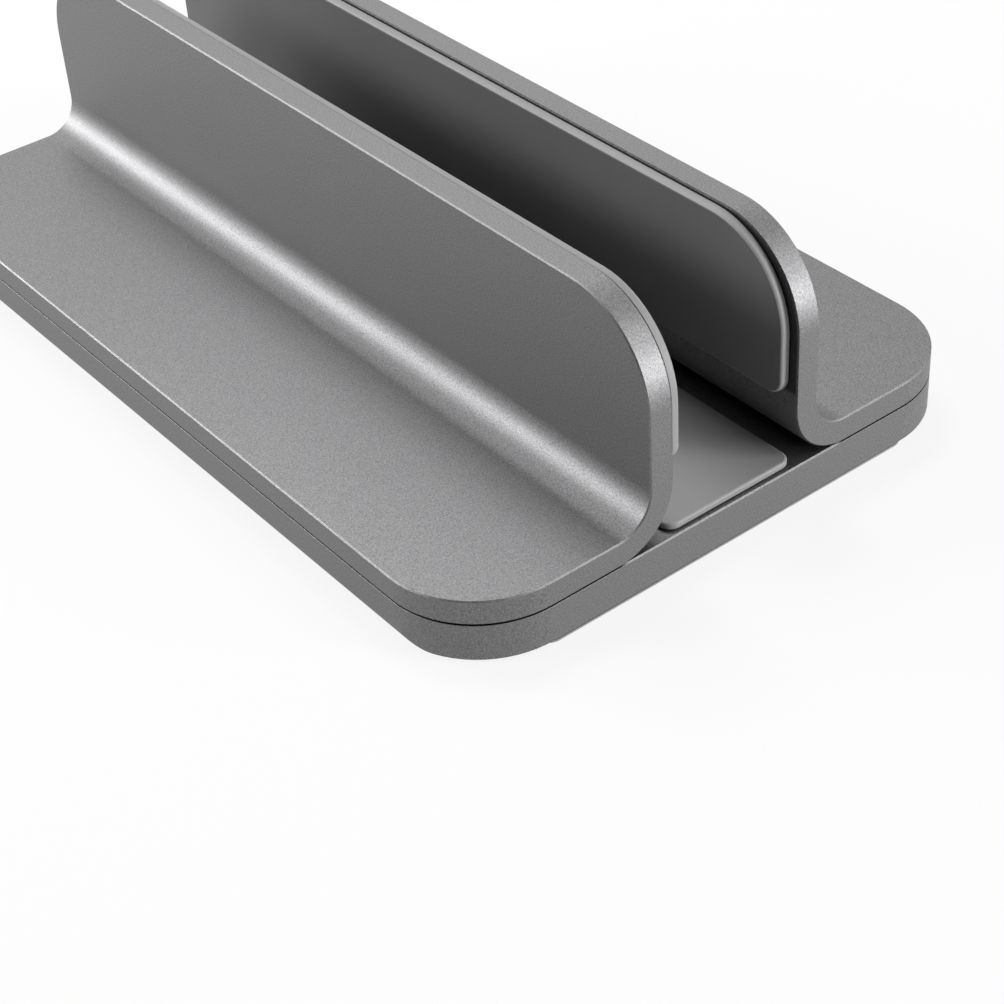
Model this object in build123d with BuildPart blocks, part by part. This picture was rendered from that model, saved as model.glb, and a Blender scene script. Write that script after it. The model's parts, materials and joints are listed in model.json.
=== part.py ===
"""Vertical laptop stand: two bent brackets that slide on a rounded base plate."""

import os
from math import sqrt

from build123d import *

os.makedirs("parts", exist_ok=True)

# Driving dimensions in millimetres: X across the slot, Y along it, Z up from the desk

# Base plate
base_width = 120.0
base_length = 193.5
base_thickness = 7.6
base_corner_radius = 19.0
base_edge_round = 1.8  # along both long lower edges
cut_edge = 0.26  # bright chamfer round every machined rim

# Brackets
plate_thickness = 5.0
bracket_height = 45.5  # from the base plate to the top of the upright
bend_radius = 7.2  # inside of the bend
upright_corner_radius = 18.5
slot_half_width = 14.2  # middle of the stand to the inner face of an upright
slide_travel = 4.7  # inward, for each bracket

# Soft pads
pad_thickness = 2.0
pad_height = 30.2
pad_edge_radius = 0.6
pad_lower_corner_radius = 3.5
pad_top_inset = 0.5
pad_end_inset = 1.2
pad_shift = 0.7  # glued a little towards one end of each upright
base_pad_thickness = 1.5
base_pad_corner_radius = 2.5
base_pad_end_inset = 1.0
base_pad_clearance = 1.2  # to the bends, with both brackets fully inward

# Foot strips
strip_thickness = 0.7
strip_length = 85.0
strip_width = 12.0
strip_corner_radius = 3.0
strip_end_inset = 0.3

# Screws and washers
screw_diameter = 4.0
screw_length = 8.0
screw_tip_chamfer = 0.4
head_diameter = 7.6
head_height = 2.2
head_round = 1.8
socket_across_flats = 2.5
socket_depth = 1.3
washer_diameter = 9.0
washer_bore = 4.3
washer_thickness = 0.8
screw_spacing = 110.0  # along each flange
screw_inset = 18.0  # from the long edge of the base plate
head_recess = 1.2  # screw heads stay this far inside the base plate
slot_clearance = 0.25  # round a screw in its slot
washer_clearance = 0.5  # round a washer in its recess
thread_clearance = 0.05
thread_tip_gap = 0.3  # screw tip to the floor of its threaded hole

# Levels and places that follow from them
base_bottom = strip_thickness
base_top = base_bottom + base_thickness
flange_top = base_top + plate_thickness
upright_top = base_top + bracket_height
upright_outer = slot_half_width + plate_thickness
bend_outer_radius = bend_radius + plate_thickness
recess_depth = head_recess + head_height + washer_thickness
head_seat = base_bottom + head_recess + head_height
thread_depth = head_seat + screw_length + thread_tip_gap - base_top
screw_x = base_width / 2 - screw_inset
slot_middle_x = screw_x - slide_travel / 2
sides = {"left": -1, "right": 1}
ends = {"front": -1, "rear": 1}

# The bend leaves this much room beside an upright at the height of the base pad
bend_rise = bend_outer_radius - base_pad_thickness
bend_room = bend_outer_radius - sqrt(bend_outer_radius**2 - bend_rise**2)
base_pad_width = 2 * (slot_half_width + bend_room - slide_travel - base_pad_clearance)


with BuildPart() as base_plate:
    with BuildSketch(Plane.XZ):
        with Locations((0, base_bottom + base_thickness / 2)):
            Rectangle(base_width, base_thickness)
        fillet(vertices().group_by(Axis.Y)[0], base_edge_round)
    extrude(amount=base_length / 2, both=True)
    # The rounded outline leaves the corners upright, and the rounding of the long edges runs out in them
    with BuildSketch(Plane.XY.offset(base_bottom)):
        RectangleRounded(base_width, base_length, base_corner_radius)
    extrude(amount=base_thickness, mode=Mode.INTERSECT)
    chamfer(faces().sort_by(Axis.Z)[-1].edges(), cut_edge)
    # Recesses for the heads and washers, then the slots that the screws slide in
    with BuildSketch(Plane.XY.offset(base_bottom)):
        with GridLocations(2 * slot_middle_x, screw_spacing, 2, 2):
            SlotCenterToCenter(slide_travel, washer_diameter + 2 * washer_clearance)
    extrude(amount=recess_depth, mode=Mode.SUBTRACT)
    with BuildSketch(Plane.XY.offset(base_bottom)):
        with GridLocations(2 * slot_middle_x, screw_spacing, 2, 2):
            SlotCenterToCenter(slide_travel, screw_diameter + 2 * slot_clearance)
    extrude(amount=base_thickness, mode=Mode.SUBTRACT)
base_plate.part.label = "base_plate"
export_step(base_plate.part, "parts/base_plate.step")


with BuildPart() as base_pad:
    with BuildSketch(Plane.XY.offset(base_top)):
        RectangleRounded(base_pad_width, base_length - 2 * base_pad_end_inset, base_pad_corner_radius)
    extrude(amount=base_pad_thickness)
    fillet(faces().sort_by(Axis.Z)[-1].edges(), pad_edge_radius)
base_pad.part.label = "base_pad"
export_step(base_pad.part, "parts/base_pad.step")


for end, direction in ends.items():
    strip_y = direction * (base_length / 2 - strip_end_inset - strip_width / 2)
    with BuildPart() as foot_strip:
        with BuildSketch():
            with Locations((0, strip_y)):
                RectangleRounded(strip_length, strip_width, strip_corner_radius)
        extrude(amount=strip_thickness)
    foot_strip.part.label = f"{end}_foot_strip"
    export_step(foot_strip.part, f"parts/{end}_foot_strip.step")


# The right bracket and its pad, which turned round also make the left half
with BuildPart() as bracket:
    with BuildSketch(Plane.XZ):
        with BuildLine():
            convex_side = FilletPolyline(
                (base_width / 2, base_top),
                (slot_half_width, base_top),
                (slot_half_width, upright_top),
                radius=bend_outer_radius,
            )
            concave_side = FilletPolyline(
                (upright_outer, upright_top),
                (upright_outer, flange_top),
                (base_width / 2, flange_top),
                radius=bend_radius,
            )
            Line(convex_side @ 1, concave_side @ 0)
            Line(concave_side @ 1, convex_side @ 0)
        make_face()
    extrude(amount=base_length / 2, both=True)
    fillet(edges().filter_by(Axis.Z).group_by(Axis.X)[-1], base_corner_radius)
    fillet(edges().filter_by(Axis.X).group_by(Axis.Z)[-1], upright_corner_radius)
    # Two flats and a bend on each side are broad, and the cut edge runs round their rims unbroken
    by_area = faces().sort_by(SortBy.AREA)
    chamfer(by_area[-6:].edges() & by_area[:-6].edges(), cut_edge)
    # Blind threaded holes in the underside of the flange
    for direction in ends.values():
        with Locations(Plane((screw_x, direction * screw_spacing / 2, base_top), z_dir=(0, 0, -1))):
            Hole(screw_diameter / 2 + thread_clearance, depth=thread_depth)

with BuildPart() as upright_pad:
    with BuildSketch(Plane.YZ.offset(slot_half_width)):
        with Locations((pad_shift, upright_top - pad_top_inset - pad_height / 2)):
            Rectangle(base_length - 2 * pad_end_inset, pad_height)
        fillet(vertices().group_by(Axis.Y)[-1], upright_corner_radius - pad_top_inset)
        fillet(vertices().group_by(Axis.Y)[0], pad_lower_corner_radius)
    extrude(amount=-pad_thickness)
    fillet(faces().sort_by(Axis.X)[0].edges(), pad_edge_radius)

for side, direction in sides.items():
    half_turn = (0, 0, 90 - 90 * direction)
    with BuildPart() as side_bracket:
        add(bracket.part, rotation=half_turn)
    side_bracket.part.label = f"{side}_bracket"
    export_step(side_bracket.part, f"parts/{side}_bracket.step")
    with BuildPart() as side_pad:
        add(upright_pad.part, rotation=half_turn)
    side_pad.part.label = f"{side}_pad"
    export_step(side_pad.part, f"parts/{side}_pad.step")


# Button-head screw, standing on its head with the seat at zero, and its washer
with BuildPart() as screw:
    Cylinder(head_diameter / 2, head_height, align=(Align.CENTER, Align.CENTER, Align.MAX))
    fillet(edges().filter_by(GeomType.CIRCLE).sort_by(Axis.Z)[0], head_round)
    with BuildSketch():
        Circle(screw_diameter / 2)
    extrude(amount=screw_length)
    chamfer(faces().sort_by(Axis.Z)[-1].edges(), screw_tip_chamfer)
    with BuildSketch(Plane.XY.offset(-head_height)):
        RegularPolygon(socket_across_flats / 2, 6, major_radius=False)
    extrude(amount=socket_depth, mode=Mode.SUBTRACT)

with BuildPart() as washer:
    with BuildSketch():
        Circle(washer_diameter / 2)
        Circle(washer_bore / 2, mode=Mode.SUBTRACT)
    extrude(amount=washer_thickness)

for side, across in sides.items():
    for end, along in ends.items():
        seat = (across * screw_x, along * screw_spacing / 2, head_seat)
        with BuildPart() as placed_screw:
            with Locations(seat):
                add(screw.part)
        placed_screw.part.label = f"{side}_{end}_screw"
        export_step(placed_screw.part, f"parts/{side}_{end}_screw.step")
        with BuildPart() as placed_washer:
            with Locations(seat):
                add(washer.part)
        placed_washer.part.label = f"{side}_{end}_washer"
        export_step(placed_washer.part, f"parts/{side}_{end}_washer.step")

print("base pad width", round(base_pad_width, 2), "top of the uprights", upright_top)
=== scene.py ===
import json
import math

import bpy
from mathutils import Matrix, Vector

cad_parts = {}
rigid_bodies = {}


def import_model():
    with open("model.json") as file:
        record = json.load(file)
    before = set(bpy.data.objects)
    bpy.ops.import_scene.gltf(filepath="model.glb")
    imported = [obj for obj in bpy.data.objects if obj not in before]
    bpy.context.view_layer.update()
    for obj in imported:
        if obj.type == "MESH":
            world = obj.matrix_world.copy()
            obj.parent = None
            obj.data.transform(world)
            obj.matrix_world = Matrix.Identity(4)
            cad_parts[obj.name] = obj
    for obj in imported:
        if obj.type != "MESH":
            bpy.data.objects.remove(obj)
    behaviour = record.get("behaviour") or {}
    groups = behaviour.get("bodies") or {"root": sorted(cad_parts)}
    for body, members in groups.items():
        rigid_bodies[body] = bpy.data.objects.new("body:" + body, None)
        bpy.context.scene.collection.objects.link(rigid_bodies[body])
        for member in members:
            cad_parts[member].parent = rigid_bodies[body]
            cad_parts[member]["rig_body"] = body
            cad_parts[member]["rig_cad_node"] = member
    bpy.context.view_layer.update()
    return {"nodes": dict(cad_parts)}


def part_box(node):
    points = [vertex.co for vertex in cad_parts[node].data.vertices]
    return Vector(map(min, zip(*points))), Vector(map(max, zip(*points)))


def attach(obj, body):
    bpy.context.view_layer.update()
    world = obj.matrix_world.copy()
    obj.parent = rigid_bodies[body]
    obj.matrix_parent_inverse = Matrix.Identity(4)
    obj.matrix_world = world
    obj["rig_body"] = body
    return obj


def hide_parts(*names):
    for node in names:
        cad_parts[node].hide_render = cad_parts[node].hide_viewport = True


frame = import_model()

nodes = frame["nodes"]
scene = bpy.context.scene
mm = 0.001
white = (1, 1, 1, 1)
squarely = 0.99  # how straight along a direction a face or an edge has to point
print("frame loaded,", len(nodes), "nodes")


# selection helpers, since every operator acts on what is selected
def pickOnly(obj):
    bpy.ops.object.select_all(action="DESELECT")
    obj.select_set(True)
    bpy.context.view_layer.objects.active = obj


def startSelection(obj, kind):
    pickOnly(obj)
    bpy.ops.object.mode_set(mode="EDIT")
    bpy.ops.mesh.select_mode(type=kind)
    bpy.ops.mesh.select_all(action="DESELECT")
    bpy.ops.object.mode_set(mode="OBJECT")


def selectFaces(obj, wanted):
    startSelection(obj, "FACE")
    for poly in obj.data.polygons:
        poly.select = wanted(poly.center, poly.normal)
    bpy.ops.object.mode_set(mode="EDIT")


def selectEdges(obj, wanted):
    startSelection(obj, "EDGE")
    verts = obj.data.vertices
    for edge in obj.data.edges:
        a, b = (verts[i].co for i in edge.vertices)
        edge.select = wanted(a, b)
    bpy.ops.object.mode_set(mode="EDIT")


def runsAlong(a, b, direction):
    return abs((b - a).normalized().dot(direction)) > squarely


def within(value, span):
    return span[0] < value < span[1]


# shader helpers
def newMaterial(name):
    material = bpy.data.materials.new(name)
    material.use_nodes = True
    tree = material.node_tree
    shader = tree.nodes["Principled BSDF"]
    return material, tree, shader


def addNode(tree, kind, **settings):
    node = tree.nodes.new(kind)
    for key, value in settings.items():
        setattr(node, key, value)
    return node


def newGroup(name, inputs, outputs):
    group = bpy.data.node_groups.new(name, "ShaderNodeTree")
    for label, kind, default in inputs:
        socket = group.interface.new_socket(label, in_out="INPUT", socket_type=kind)
        if default is not None:
            socket.default_value = default
    for label, kind in outputs:
        group.interface.new_socket(label, in_out="OUTPUT", socket_type=kind)
    return group, addNode(group, "NodeGroupInput"), addNode(group, "NodeGroupOutput")


def placeGroup(tree, group, **values):
    node = addNode(tree, "ShaderNodeGroup", node_tree=group)
    for label, value in values.items():
        node.inputs[label].default_value = value
    coords = addNode(tree, "ShaderNodeTexCoord")
    tree.links.new(coords.outputs["Object"], node.inputs["Place"])
    return node


def combine(tree, operation, first, second):
    node = addNode(tree, "ShaderNodeMath", operation=operation)
    tree.links.new(first, node.inputs[0])
    tree.links.new(second, node.inputs[1])
    return node.outputs[0]


def rampBetween(tree, mask, low, high):
    ramp = addNode(tree, "ShaderNodeMapRange")
    ramp.inputs["To Min"].default_value = low
    ramp.inputs["To Max"].default_value = high
    tree.links.new(mask, ramp.inputs["Value"])
    return ramp.outputs["Result"]


def mixColours(tree, mask, low, high):
    mix = addNode(tree, "ShaderNodeMix", data_type="RGBA")
    mix.inputs["A"].default_value = (*low, 1)
    mix.inputs["B"].default_value = (*high, 1)
    tree.links.new(mask, mix.inputs["Factor"])
    return mix.outputs["Result"]


def roughAndBump(tree, shader, roughMask, height, spec):
    rough = rampBetween(tree, roughMask, *spec["rough"])
    tree.links.new(rough, shader.inputs["Roughness"])
    bump = addNode(tree, "ShaderNodeBump")
    bump.inputs["Strength"].default_value = spec["bump"]
    bump.inputs["Distance"].default_value = spec["bumpDepth"]
    tree.links.new(height, bump.inputs["Height"])
    tree.links.new(bump.outputs["Normal"], shader.inputs["Normal"])


# fine speckle with a slow drift under it: blasted metal, moulded silicone and rubber
speckleSetup = {"size": 3000.0, "detail": 2.0, "roughness": 0.65, "driftScale": 28.0, "driftDetail": 3.0}
speckle, speckleIn, speckleOut = newGroup(
    "speckle",
    [("Place", "NodeSocketVector", None), ("Size", "NodeSocketFloat", speckleSetup["size"])],
    [("Grain", "NodeSocketFloat"), ("Drift", "NodeSocketFloat")],
)
fineNoise = addNode(speckle, "ShaderNodeTexNoise")
fineNoise.inputs["Detail"].default_value = speckleSetup["detail"]
fineNoise.inputs["Roughness"].default_value = speckleSetup["roughness"]
slowNoise = addNode(speckle, "ShaderNodeTexNoise")
slowNoise.inputs["Scale"].default_value = speckleSetup["driftScale"]
slowNoise.inputs["Detail"].default_value = speckleSetup["driftDetail"]
speckle.links.new(speckleIn.outputs["Place"], fineNoise.inputs["Vector"])
speckle.links.new(speckleIn.outputs["Size"], fineNoise.inputs["Scale"])
speckle.links.new(speckleIn.outputs["Place"], slowNoise.inputs["Vector"])
speckle.links.new(fineNoise.outputs["Fac"], speckleOut.inputs["Grain"])
speckle.links.new(slowNoise.outputs["Fac"], speckleOut.inputs["Drift"])

# soft step by how far a point lies from the middle along one axis, on both sides alike
step, stepIn, stepOut = newGroup(
    "softStep",
    [
        ("Place", "NodeSocketVector", None),
        ("Axis", "NodeSocketVector", (0, 0, 1)),
        ("From", "NodeSocketFloat", 0.0),
        ("To", "NodeSocketFloat", mm),
    ],
    [("Mask", "NodeSocketFloat")],
)
stepDot = addNode(step, "ShaderNodeVectorMath", operation="DOT_PRODUCT")
stepSize = addNode(step, "ShaderNodeMath", operation="ABSOLUTE")
stepRamp = addNode(step, "ShaderNodeMapRange")
step.links.new(stepIn.outputs["Place"], stepDot.inputs[0])
step.links.new(stepIn.outputs["Axis"], stepDot.inputs[1])
step.links.new(stepDot.outputs["Value"], stepSize.inputs[0])
step.links.new(stepSize.outputs[0], stepRamp.inputs["Value"])
step.links.new(stepIn.outputs["From"], stepRamp.inputs["From Min"])
step.links.new(stepIn.outputs["To"], stepRamp.inputs["From Max"])
step.links.new(stepRamp.outputs["Result"], stepOut.inputs["Mask"])
print("node groups ready")


# metal finishes
def blastedMetal(name, spec):
    material, tree, shader = newMaterial(name)
    shader.inputs["Metallic"].default_value = 1.0
    grain = placeGroup(tree, speckle, Size=spec["grainSize"])
    colour = mixColours(tree, grain.outputs["Grain"], spec["dark"], spec["light"])
    tree.links.new(colour, shader.inputs["Base Color"])
    roughAndBump(tree, shader, grain.outputs["Drift"], grain.outputs["Grain"], spec)
    return material


# one metal that turns into another where all the masks are on, with the grain of the first
def twoTone(name, first, second, masks):
    material, tree, shader = newMaterial(name)
    shader.inputs["Metallic"].default_value = 1.0
    grain = placeGroup(tree, speckle, Size=first["grainSize"])
    parts = [placeGroup(tree, step, **values).outputs["Mask"] for values in masks]
    share = parts[0]
    for part in parts[1:]:
        share = combine(tree, "MULTIPLY", share, part)
    colour = addNode(tree, "ShaderNodeMix", data_type="RGBA")
    tree.links.new(share, colour.inputs["Factor"])
    for socket, tone in (("A", first), ("B", second)):
        mottled = mixColours(tree, grain.outputs["Grain"], tone["dark"], tone["light"])
        tree.links.new(mottled, colour.inputs[socket])
    tree.links.new(colour.outputs["Result"], shader.inputs["Base Color"])
    roughAndBump(tree, shader, grain.outputs["Drift"], grain.outputs["Grain"], first)
    return material


# bead-blasted, grey anodised aluminium of the broad faces
blasted = {
    "dark": (0.020, 0.020, 0.021),
    "light": (0.340, 0.340, 0.344),
    "grainSize": 3700.0,
    "rough": (0.49, 0.56),
    "bump": 0.35,
    "bumpDepth": 0.04 * mm,
}
blastedGrey = blastedMetal("blastedGrey", blasted)

# cut rims, evener in tone than the broad faces
cutEdge = {
    "dark": (0.070, 0.070, 0.071),
    "light": (0.300, 0.300, 0.302),
    "grainSize": 3000.0,
    "rough": (0.50, 0.60),
    "bump": 0.35,
    "bumpDepth": 0.04 * mm,
}
cutBright = blastedMetal("cutBright", cutEdge)

# rims on the inner side of the brackets: painted shade, dark, over a mottled grain
paintedEdgeShade = {
    "dark": (0.010, 0.010, 0.010),
    "light": (0.110, 0.110, 0.112),
    "grainSize": 1700.0,
    "rough": (0.50, 0.65),
    "bump": 0.4,
    "bumpDepth": 0.06 * mm,
}
backRimShade = blastedMetal("backRimShade", paintedEdgeShade)

# plain steel of the screws and washers
steel = {
    "dark": (0.36, 0.36, 0.37),
    "light": (0.52, 0.52, 0.53),
    "grainSize": 4200.0,
    "rough": (0.26, 0.38),
    "bump": 0.08,
    "bumpDepth": 0.02 * mm,
}
plainSteel = blastedMetal("plainSteel", steel)

# rim of the base plate: cut-rim colour in the slot, painted shade in the seam where it meets the brackets
seamShade = {
    "dark": (0.004, 0.004, 0.004),
    "light": (0.014, 0.014, 0.014),
    "depth": (0.24 * mm, 0.19 * mm),  # below the top of the plate, where the painted seam shade begins and is full
    "side": (24.0 * mm, 26.0 * mm),  # from the middle of the slot
}
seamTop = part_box("base_plate")[1].z
seamShadeStart, seamShadeFull = (seamTop - depth for depth in seamShade["depth"])
rimWithSeamShade = twoTone("rimWithSeamShade", cutEdge, seamShade, [
    {"Axis": (0, 0, 1), "From": seamShadeStart, "To": seamShadeFull},
    {"Axis": (1, 0, 0), "From": seamShade["side"][0], "To": seamShade["side"][1]},
])

# inner faces of the uprights: painted shade, dark and mottled, round the pads, plain below them
padMargin = {"from": 0.2 * mm, "to": 1.2 * mm}  # above the foot of the pads
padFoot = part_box("left_pad")[0].z
innerFaceShade = twoTone("innerFaceShade", blasted, paintedEdgeShade, [
    {"Axis": (0, 0, 1), "From": padFoot + padMargin["from"], "To": padFoot + padMargin["to"]},
])

# silicone and rubber have one moulded grain, with a pair of greys for each use; the pads share one silicone,
# painted darker on the upright pads (painted shade), lighter on the floor pad (painted light), and with a
# painted highlight on their rims
moulded = {"grainSize": 3600.0, "rough": (0.46, 0.58), "bump": 0.15, "bumpDepth": 0.03 * mm}


def softMatte(name, dark, light):
    material, tree, shader = newMaterial(name)
    grain = placeGroup(tree, speckle, Size=moulded["grainSize"])
    colour = mixColours(tree, grain.outputs["Drift"], dark, light)
    tree.links.new(colour, shader.inputs["Base Color"])
    roughAndBump(tree, shader, grain.outputs["Grain"], grain.outputs["Grain"], moulded)
    return material


# upright pads: the silicone painted darker, painted shade of the slot
padGreyShaded = softMatte("padGreyShaded", dark=(0.085, 0.085, 0.086), light=(0.120, 0.120, 0.121))
# floor pad: the same silicone painted lighter, painted light from the front
floorPadGreyLit = softMatte("floorPadGreyLit", dark=(0.26, 0.26, 0.262), light=(0.34, 0.34, 0.342))
# pad rims: painted highlight along the rounded rims
padRimHighlight = softMatte("padRimHighlight", dark=(0.24, 0.24, 0.242), light=(0.31, 0.31, 0.312))
stripGrey = softMatte("stripGrey", dark=(0.27, 0.27, 0.272), light=(0.35, 0.35, 0.352))
# glue line: dark glue with painted shade in the groove
glueAndShade = softMatte("glueAndShade", dark=(0.010, 0.010, 0.010), light=(0.030, 0.030, 0.030))
print("materials ready")

# the camera stands where the photograph was taken from
cameraSetup = {
    "place": (-0.21069, -0.31923, 0.24903),
    "turn": (51.951, 3.237, -38.411),
    "lens": 80.3,
    "sensor": 36.0,
    "nearest": 0.01,
    "farthest": 50.0,
}
cameraData = bpy.data.cameras.new("camera")
cameraData.sensor_width = cameraSetup["sensor"]
cameraData.lens = cameraSetup["lens"]
cameraData.clip_start = cameraSetup["nearest"]
cameraData.clip_end = cameraSetup["farthest"]
camera = bpy.data.objects.new("camera", cameraData)
camera.location = cameraSetup["place"]
camera.rotation_euler = [math.radians(a) for a in cameraSetup["turn"]]
scene.collection.objects.link(camera)
scene.camera = camera


# 1 for what the camera, metal or glass shows, 0 for what only lights the object
def seenDirectly(tree):
    path = addNode(tree, "ShaderNodeLightPath")
    seen = path.outputs["Is Camera Ray"]
    for label in ("Is Glossy Ray", "Is Transmission Ray"):
        seen = combine(tree, "MAXIMUM", seen, path.outputs[label])
    return seen


# pale floor, a hair under the foot strips
floorSetup = {"size": 40.0, "drop": 0.05 * mm, "colour": (0.8, 0.8, 0.8), "glow": 0.86}
bpy.ops.object.select_all(action="DESELECT")
bpy.ops.mesh.primitive_plane_add(size=floorSetup["size"], location=(0, 0, -floorSetup["drop"]))
floor = bpy.context.object
floor.name = "floor"
paleFloor = bpy.data.materials.new("paleFloor")
paleFloor.use_nodes = True
floorTree = paleFloor.node_tree
floorTree.nodes.clear()
floorOut = addNode(floorTree, "ShaderNodeOutputMaterial")
matte = addNode(floorTree, "ShaderNodeBsdfDiffuse")
matte.inputs["Color"].default_value = (*floorSetup["colour"], 1)
glow = addNode(floorTree, "ShaderNodeEmission")
glow.inputs["Color"].default_value = white
blend = addNode(floorTree, "ShaderNodeMixShader")
glowShare = rampBetween(floorTree, seenDirectly(floorTree), 0.0, floorSetup["glow"])
floorTree.links.new(glowShare, blend.inputs[0])
floorTree.links.new(matte.outputs[0], blend.inputs[1])
floorTree.links.new(glow.outputs[0], blend.inputs[2])
floorTree.links.new(blend.outputs[0], floorOut.inputs["Surface"])
floor.data.materials.append(paleFloor)

# white all round, with one dark corner of the studio that only the metal shows
studio = {
    "soft": 0.3,  # strength that lights the object
    "shown": 1.0,  # strength that the camera and the metal show
    "darkSide": (-0.75, -0.40, 0.52),
    "darkFrom": 0.62,  # cosine of the angle from the dark side
    "darkFull": 0.90,
    "darkest": 0.0,
}
world = bpy.data.worlds.new("studio")
scene.world = world
world.use_nodes = True
worldTree = world.node_tree
sky = worldTree.nodes["Background"]
sky.inputs["Color"].default_value = white
around = addNode(worldTree, "ShaderNodeTexCoord")
towards = addNode(worldTree, "ShaderNodeVectorMath", operation="DOT_PRODUCT")
towards.inputs[1].default_value = Vector(studio["darkSide"]).normalized()
worldTree.links.new(around.outputs["Generated"], towards.inputs[0])
darkCorner = addNode(worldTree, "ShaderNodeMapRange", interpolation_type="SMOOTHSTEP")
darkCorner.inputs["From Min"].default_value = studio["darkFrom"]
darkCorner.inputs["From Max"].default_value = studio["darkFull"]
darkCorner.inputs["To Min"].default_value = 1.0
darkCorner.inputs["To Max"].default_value = studio["darkest"]
worldTree.links.new(towards.outputs["Value"], darkCorner.inputs["Value"])
cameraPath = addNode(worldTree, "ShaderNodeLightPath")
lookedAt = cameraPath.outputs["Is Camera Ray"]
cornerShare = combine(worldTree, "MAXIMUM", lookedAt, darkCorner.outputs["Result"])
strength = rampBetween(worldTree, seenDirectly(worldTree), studio["soft"], studio["shown"])
worldTree.links.new(combine(worldTree, "MULTIPLY", strength, cornerShare), sky.inputs["Strength"])

# softboxes: bearing in degrees from +Y towards +X, height in degrees, side in metres, power in watts
lampDistance = 1.3  # metres from the origin
lamps = {
    "bendBox": {"bearing": -25, "height": 15, "side": 0.36, "power": 11.8},
    "leftBox": {"bearing": -60, "height": 25, "side": 0.36, "power": 6.5},
    "highBox": {"bearing": 20, "height": 62, "side": 0.50, "power": 7.6},
    "frontBox": {"bearing": 147, "height": 8, "side": 0.34, "power": 11.8},
    "rimBox": {"bearing": 143, "height": 40, "side": 0.30, "power": 3.6},
}
for name, lamp in lamps.items():
    lampData = bpy.data.lights.new(name, "AREA")
    lampData.shape = "SQUARE"
    lampData.size = lamp["side"]
    lampData.energy = lamp["power"]
    softbox = bpy.data.objects.new(name, lampData)
    bearing, height = math.radians(lamp["bearing"]), math.radians(lamp["height"])
    level = math.cos(height)
    direction = Vector((level * math.sin(bearing), level * math.cos(bearing), math.sin(height)))
    softbox.location = lampDistance * direction
    softbox.rotation_euler = (-softbox.location).to_track_quat("-Z", "Y").to_euler()
    scene.collection.objects.link(softbox)
scene.view_settings.view_transform = "Standard"
print("stage and lamps ready")


# piece helpers
def finishFaces(piece, materialIndex, wanted):
    selectFaces(piece, wanted)
    piece.active_material_index = materialIndex
    bpy.ops.object.material_slot_assign()
    bpy.ops.object.mode_set(mode="OBJECT")


def smoothShading(piece, angle):
    pickOnly(piece)
    bpy.ops.object.shade_smooth_by_angle(angle=math.radians(angle))
    bpy.ops.object.modifier_add(type="WEIGHTED_NORMAL")
    piece.modifiers[-1].keep_sharp = True
    bpy.ops.object.modifier_apply(modifier=piece.modifiers[-1].name)


# brackets and base plate: copies of the solids, so that their rims and inner faces can have colours of their
# own: cut rims on the open side, painted shade on the rims and faces towards the slot and in the seam
plateShape = {
    "plate": 5 * mm,
    "bendRadius": 7.2 * mm,
    "rimLean": (0.3, 0.95),  # chamfers, by the cosine between them and the broad face
    "mergeGap": 0.001 * mm,
    "smoothAngle": 30,
}
rimSlot, backRimSlot, innerSlot = 1, 2, 3  # slot 0 covers the rest


def dressedCopy(nodeName, pieceName, materials):
    source = nodes[nodeName]
    body = source["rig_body"]
    pickOnly(source)
    bpy.ops.object.duplicate()
    piece = bpy.context.object
    piece.name = pieceName
    piece.parent = None
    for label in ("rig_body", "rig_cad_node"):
        del piece[label]
    bpy.ops.mesh.customdata_custom_splitnormals_clear()
    bpy.ops.object.mode_set(mode="EDIT")
    bpy.ops.mesh.select_all(action="SELECT")
    bpy.ops.mesh.remove_doubles(threshold=plateShape["mergeGap"])
    bpy.ops.object.mode_set(mode="OBJECT")
    piece.data.materials.clear()
    for material in materials:
        piece.data.materials.append(material)
    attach(piece, body)
    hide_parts(nodeName)
    return piece


def facing(point, normal, side, axisX, axisZ):
    # 1 on the open side of the bend, -1 on its back, 0 on the plate's edges
    if side * point.x > axisX:
        broad = Vector((0, 0, 1))
    elif point.z > axisZ:
        broad = Vector((side, 0, 0))
    else:
        broad = Vector((side * axisX - point.x, 0, axisZ - point.z)).normalized()
    return normal.dot(broad)


bendOuter = plateShape["bendRadius"] + plateShape["plate"]
rimLean = plateShape["rimLean"]
for side, nodeName, pieceName in ((-1, "left_bracket", "bracketLeft"), (1, "right_bracket", "bracketRight")):
    bracket = dressedCopy(nodeName, pieceName, [blastedGrey, cutBright, backRimShade, innerFaceShade])
    low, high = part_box(nodeName)
    axisX = min(abs(low.x), abs(high.x)) + bendOuter
    axisZ = low.z + bendOuter
    finishFaces(bracket, rimSlot, lambda c, n: within(facing(c, n, side, axisX, axisZ), rimLean))
    # rims on the back of the bend, towards the slot, take painted shade
    finishFaces(bracket, backRimSlot, lambda c, n: within(-facing(c, n, side, axisX, axisZ), rimLean))
    # inner faces of the uprights take painted shade round the pads
    finishFaces(bracket, innerSlot, lambda c, n: n.x * side < -squarely and c.z > axisZ)
    smoothShading(bracket, plateShape["smoothAngle"])
basePlate = dressedCopy("base_plate", "basePlate", [blastedGrey, rimWithSeamShade])
# top chamfer of the plate: cut-rim colour, with painted shade in the seam under the brackets
finishFaces(basePlate, rimSlot, lambda c, n: within(n.z, rimLean))
smoothShading(basePlate, plateShape["smoothAngle"])
print("brackets and base plate dressed")

# soft pads and foot strips, shaped in the room of their solids
softCuts = {
    "cornerSteps": 16,
    "rimSteps": 6,
    "grooveSteps": 2,
    "endShare": 0.49,  # of the size from the middle, past which an edge is at an end
    "rimLean": (-0.2, 0.9),  # cosine between a face and the way that the piece faces
    "glueShadeLean": (-0.98, -0.2),
    "smoothAngle": 40,
}
softRimSlot, glueShadeSlot = 1, 2  # slot 0 is the face that shows


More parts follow.
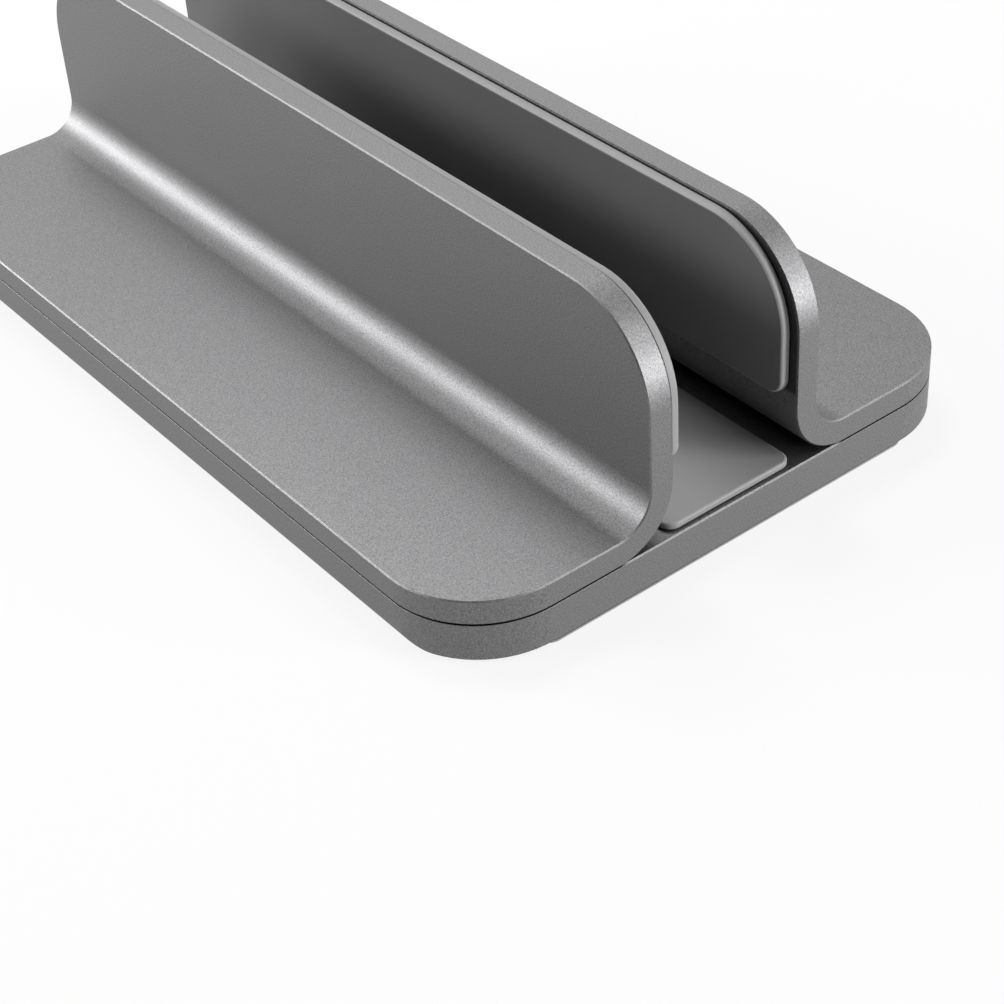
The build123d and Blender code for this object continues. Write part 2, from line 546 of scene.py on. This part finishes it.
def bevelSelected(radius, steps):
    bpy.ops.mesh.bevel(offset=radius, segments=steps, affect="EDGES")
    bpy.ops.object.mode_set(mode="OBJECT")


def bevelOutline(piece, direction, radius, steps):
    selectFaces(piece, lambda c, n: n.dot(direction) > squarely)
    bpy.ops.mesh.region_to_loop()
    bevelSelected(radius, steps)


def makeSoft(pieceName, spec):
    low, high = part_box(spec["node"])
    middle, size, out = (low + high) / 2, high - low, Vector(spec["out"])
    spread = Vector((1, 1, 1)) - Vector([abs(v) for v in out])
    size += spread * 2 * spec["swell"]
    bpy.ops.object.select_all(action="DESELECT")
    bpy.ops.mesh.primitive_cube_add(size=1, location=middle, scale=size)
    piece = bpy.context.object
    piece.name = pieceName
    bpy.ops.object.transform_apply(location=True, rotation=True, scale=True)
    # corners that run through the thickness, the upper or far pair and then the other
    up = 2 if out.z == 0 else 1
    for end, radius in ((1, spec["upperCorner"]), (-1, spec["lowerCorner"])):
        limit = end * middle[up] + softCuts["endShare"] * size[up]
        selectEdges(piece, lambda a, b: runsAlong(a, b, out) and end * a[up] > limit)
        bevelSelected(radius, softCuts["cornerSteps"])
    # soft rim round the face that shows, and a narrow groove along the glue line at its back
    bevelOutline(piece, out, spec["rim"], softCuts["rimSteps"])
    bevelOutline(piece, -out, spec["groove"], softCuts["grooveSteps"])
    for material in spec["finish"]:
        piece.data.materials.append(material)
    # rim faces take the second finish, on the pads a painted highlight
    finishFaces(piece, softRimSlot, lambda c, n: within(n.dot(out), softCuts["rimLean"]))
    # groove faces take the glue colour darkened with painted shade
    finishFaces(piece, glueShadeSlot, lambda c, n: within(n.dot(out), softCuts["glueShadeLean"]))
    return piece


def copySoft(source, pieceName, shift=(0, 0, 0), turn=0):
    pickOnly(source)
    bpy.ops.object.duplicate()
    piece = bpy.context.object
    piece.name = pieceName
    piece.location = shift
    piece.rotation_euler.z = math.radians(turn)
    bpy.ops.object.transform_apply(location=True, rotation=True, scale=True)
    return piece


def seatSoft(piece, nodeName):
    smoothShading(piece, softCuts["smoothAngle"])
    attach(piece, nodes[nodeName]["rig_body"])
    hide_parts(nodeName)


# the right pad is the left one turned half round
uprightPad = {
    "node": "left_pad",
    "out": (1, 0, 0),
    "upperCorner": 18.0 * mm,
    "lowerCorner": 3.5 * mm,
    "rim": 0.7 * mm,
    "groove": 0.3 * mm,
    "swell": 0.0,
    "finish": [padGreyShaded, padRimHighlight, glueAndShade],
}
padLeft = makeSoft("padLeft", uprightPad)
padRight = copySoft(padLeft, "padRight", turn=180)

basePad = {
    "node": "base_pad",
    "out": (0, 0, 1),
    "upperCorner": 2.5 * mm,
    "lowerCorner": 2.5 * mm,
    "rim": 0.5 * mm,
    "groove": 0.35 * mm,
    "swell": 0.0,
    "finish": [floorPadGreyLit, padRimHighlight, glueAndShade],
}
padBase = makeSoft("padBase", basePad)

# the rear strip is the front one moved to the other end
footStrip = {
    "node": "front_foot_strip",
    "out": (0, 0, -1),
    "upperCorner": 3.0 * mm,
    "lowerCorner": 3.0 * mm,
    "rim": 0.12 * mm,
    "groove": 0.24 * mm,
    "swell": 0.3 * mm,  # out to the edge of the plate
    "finish": [stripGrey, stripGrey, glueAndShade],
}
stripFront = makeSoft("stripFront", footStrip)
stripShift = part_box("rear_foot_strip")[0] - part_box("front_foot_strip")[0]
stripRear = copySoft(stripFront, "stripRear", shift=stripShift)

seatSoft(padLeft, "left_pad")
seatSoft(padRight, "right_pad")
seatSoft(padBase, "base_pad")
seatSoft(stripFront, "front_foot_strip")
seatSoft(stripRear, "rear_foot_strip")
print("pads and foot strips made")

for name, node in nodes.items():
    if name.endswith(("screw", "washer")):
        node.data.materials.clear()
        node.data.materials.append(plainSteel)
print("screws and washers finished")
